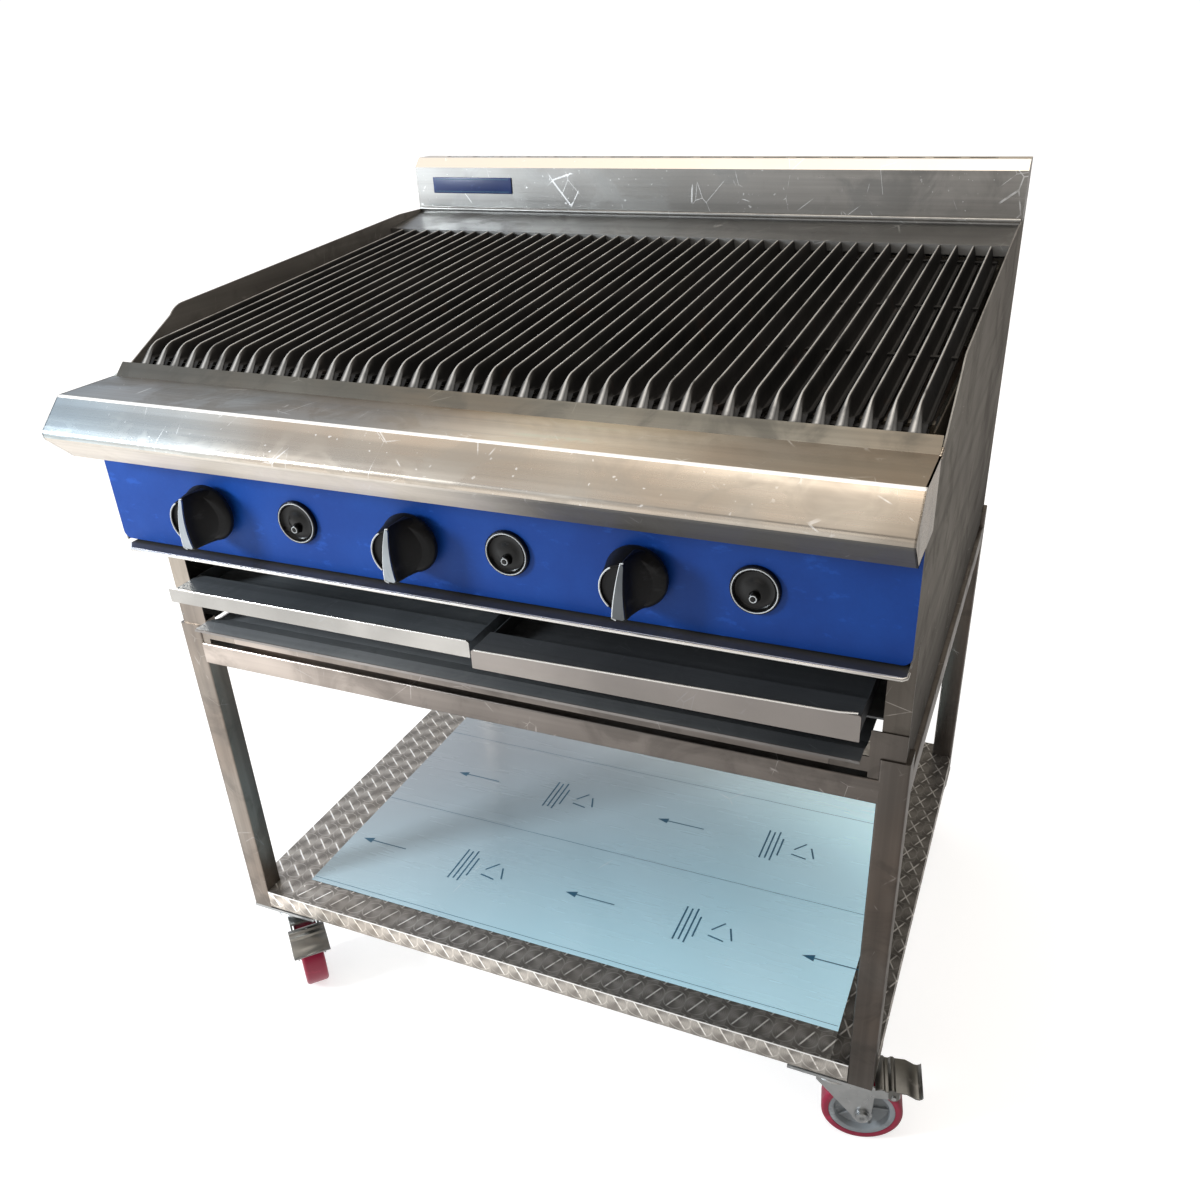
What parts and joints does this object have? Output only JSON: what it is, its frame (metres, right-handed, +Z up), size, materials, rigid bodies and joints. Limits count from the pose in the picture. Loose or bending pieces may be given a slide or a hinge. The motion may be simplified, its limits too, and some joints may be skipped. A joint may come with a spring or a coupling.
{
  "type": "gas chargrill on a stand",
  "caption": "Gas chargrill with sloping cast grates, blue control fascia, drip trays and splashback, on an open stainless stand with a shelf and swivel castors.",
  "frame": {"origin": "on the floor, at the middle of the footprint of the grill, its stand and its castors", "axes": "+X to the cook's right, +Y towards the splashback, +Z up"},
  "size_m": [1.0089, 0.8173, 1.0785],
  "materials": {
    "stainless": "brushed and scuffed",
    "frame_steel": "satin with scuffs",
    "swirl_steel": "engine turned",
    "well_steel": "dulled and heat stained",
    "tray_steel": "satin",
    "blue_paint": "satin",
    "badge_blue": "gloss",
    "cast_iron": "seasoned, worn bright on the ridges",
    "radiant_steel": "heat stained",
    "pipe_zinc": "galvanised",
    "brass": "cast",
    "knob_black": "satin",
    "button_black": "gloss",
    "zinc": "zinc plated",
    "hub_grey": "satin",
    "tyre_red": "matte",
    "film": "clear with a blue tint"
  },
  "bodies": {
    "grill_and_stand": {"left_side_panel": "stainless", "right_side_panel": "stainless", "front_posts": "stainless", "corner_feet": "stainless", "base_rail": "stainless", "splashback": "stainless", "rear_panel": "stainless", "front_nosing": "stainless", "control_box_floor": "stainless", "rear_ledge": "stainless", "stand_legs": "frame_steel", "stand_beams": "frame_steel", "shelf": "swirl_steel", "firebox_front_wall": "well_steel", "firebox_liners": "well_steel", "base_pan": "well_steel", "tray_runners": "well_steel", "grate_supports": "well_steel", "control_panel": "blue_paint", "badge_plate": "badge_blue", "burners": "cast_iron", "radiants": "radiant_steel", "gas_manifold": "pipe_zinc", "gas_valves": "brass", "igniter_bezels": "knob_black", "castor_mounts": "zinc", "castor_plates": "zinc", "castor_bolts": "zinc", "film_sheet": "film"},
    "spindle_1": {"valve_spindle_1": "brass"},
    "knob_1": {"knob_1": "knob_black"},
    "button_1": {"igniter_button_1": "button_black"},
    "spindle_2": {"valve_spindle_2": "brass"},
    "knob_2": {"knob_2": "knob_black"},
    "button_2": {"igniter_button_2": "button_black"},
    "spindle_3": {"valve_spindle_3": "brass"},
    "knob_3": {"knob_3": "knob_black"},
    "button_3": {"igniter_button_3": "button_black"},
    "tray_left": {"drip_tray_left": "tray_steel"},
    "tray_right": {"drip_tray_right": "tray_steel"},
    "grate_1": {"grate_1": "cast_iron"},
    "grate_2": {"grate_2": "cast_iron"},
    "grate_3": {"grate_3": "cast_iron"},
    "grate_4": {"grate_4": "cast_iron"},
    "grate_5": {"grate_5": "cast_iron"},
    "grate_6": {"grate_6": "cast_iron"},
    "fork_front_right": {"fork_front_right": "zinc"},
    "wheel_front_right": {"hub_front_right": "hub_grey", "tyre_front_right": "tyre_red"},
    "pedal_front_right": {"brake_pedal_front_right": "zinc"},
    "fork_front_left": {"fork_front_left": "zinc"},
    "wheel_front_left": {"hub_front_left": "hub_grey", "tyre_front_left": "tyre_red"},
    "pedal_front_left": {"brake_pedal_front_left": "zinc"},
    "fork_rear_right": {"fork_rear_right": "zinc"},
    "wheel_rear_right": {"hub_rear_right": "hub_grey", "tyre_rear_right": "tyre_red"},
    "fork_rear_left": {"fork_rear_left": "zinc"},
    "wheel_rear_left": {"hub_rear_left": "hub_grey", "tyre_rear_left": "tyre_red"}
  },
  "joints": [
    {"name": "valve_push_1", "type": "slide", "parent": "grill_and_stand", "child": "spindle_1", "axis": [0, 1, 0], "range_m": [0, 0.004], "stiffness_N_per_m": 800},
    {"name": "knob_turn_1", "type": "hinge", "parent": "spindle_1", "child": "knob_1", "pos_m": [-0.303, -0.36, 0.791], "axis": [0, 1, 0], "range_deg": [-180, 0]},
    {"name": "igniter_push_1", "type": "slide", "parent": "grill_and_stand", "child": "button_1", "axis": [0, 1, 0], "range_m": [0, 0.004], "stiffness_N_per_m": 500},
    {"name": "valve_push_2", "type": "slide", "parent": "grill_and_stand", "child": "spindle_2", "axis": [0, 1, 0], "range_m": [0, 0.004], "stiffness_N_per_m": 800},
    {"name": "knob_turn_2", "type": "hinge", "parent": "spindle_2", "child": "knob_2", "pos_m": [-0.048, -0.36, 0.791], "axis": [0, 1, 0], "range_deg": [-180, 0]},
    {"name": "igniter_push_2", "type": "slide", "parent": "grill_and_stand", "child": "button_2", "axis": [0, 1, 0], "range_m": [0, 0.004], "stiffness_N_per_m": 500},
    {"name": "valve_push_3", "type": "slide", "parent": "grill_and_stand", "child": "spindle_3", "axis": [0, 1, 0], "range_m": [0, 0.004], "stiffness_N_per_m": 800},
    {"name": "knob_turn_3", "type": "hinge", "parent": "spindle_3", "child": "knob_3", "pos_m": [0.197, -0.36, 0.791], "axis": [0, 1, 0], "range_deg": [-180, 0]},
    {"name": "igniter_push_3", "type": "slide", "parent": "grill_and_stand", "child": "button_3", "axis": [0, 1, 0], "range_m": [0, 0.004], "stiffness_N_per_m": 500},
    {"name": "tray_left_slide", "type": "slide", "parent": "grill_and_stand", "child": "tray_left", "axis": [0, -1, 0], "range_m": [-0.025, 0.42]},
    {"name": "tray_right_slide", "type": "slide", "parent": "grill_and_stand", "child": "tray_right", "axis": [0, -1, 0], "range_m": [-0.04, 0.42]},
    {"name": "grate_1_lift", "type": "slide", "parent": "grill_and_stand", "child": "grate_1", "axis": [0, 0, 1], "range_m": [0, 0.1]},
    {"name": "grate_2_lift", "type": "slide", "parent": "grill_and_stand", "child": "grate_2", "axis": [0, 0, 1], "range_m": [0, 0.1]},
    {"name": "grate_3_lift", "type": "slide", "parent": "grill_and_stand", "child": "grate_3", "axis": [0, 0, 1], "range_m": [0, 0.1]},
    {"name": "grate_4_lift", "type": "slide", "parent": "grill_and_stand", "child": "grate_4", "axis": [0, 0, 1], "range_m": [0, 0.1]},
    {"name": "grate_5_lift", "type": "slide", "parent": "grill_and_stand", "child": "grate_5", "axis": [0, 0, 1], "range_m": [0, 0.1]},
    {"name": "grate_6_lift", "type": "slide", "parent": "grill_and_stand", "child": "grate_6", "axis": [0, 0, 1], "range_m": [0, 0.1]},
    {"name": "swivel_front_right", "type": "hinge", "parent": "grill_and_stand", "child": "fork_front_right", "pos_m": [0.406, -0.259, 0.115], "axis": [0, 0, 1], "continuous": true},
    {"name": "roll_front_right", "type": "hinge", "parent": "fork_front_right", "child": "wheel_front_right", "pos_m": [0.44023, -0.25172, 0.05], "axis": [-0.2079, 0.9781, 0], "continuous": true},
    {"name": "brake_front_right", "type": "hinge", "parent": "fork_front_right", "child": "pedal_front_right", "pos_m": [0.47447, -0.24445, 0.092], "axis": [-0.2079, 0.9781, 0], "range_deg": [0, 8]},
    {"name": "swivel_front_left", "type": "hinge", "parent": "grill_and_stand", "child": "fork_front_left", "pos_m": [-0.406, -0.259, 0.115], "axis": [0, 0, 1], "continuous": true},
    {"name": "roll_front_left", "type": "hinge", "parent": "fork_front_left", "child": "wheel_front_left", "pos_m": [-0.3804, -0.28287, 0.05], "axis": [0.682, 0.7314, 0], "continuous": true},
    {"name": "brake_front_left", "type": "hinge", "parent": "fork_front_left", "child": "pedal_front_left", "pos_m": [-0.3548, -0.30674, 0.092], "axis": [0.682, 0.7314, 0], "range_deg": [0, 8]},
    {"name": "swivel_rear_right", "type": "hinge", "parent": "grill_and_stand", "child": "fork_rear_right", "pos_m": [0.412, 0.373, 0.115], "axis": [0, 0, 1], "continuous": true},
    {"name": "roll_rear_right", "type": "hinge", "parent": "fork_rear_right", "child": "wheel_rear_right", "pos_m": [0.37819, 0.38206, 0.05], "axis": [-0.2588, -0.9659, 0], "continuous": true},
    {"name": "swivel_rear_left", "type": "hinge", "parent": "grill_and_stand", "child": "fork_rear_left", "pos_m": [-0.412, 0.373, 0.115], "axis": [0, 0, 1], "continuous": true},
    {"name": "roll_rear_left", "type": "hinge", "parent": "fork_rear_left", "child": "wheel_rear_left", "pos_m": [-0.447, 0.373, 0.05], "axis": [0, -1, 0], "continuous": true}
  ]
}
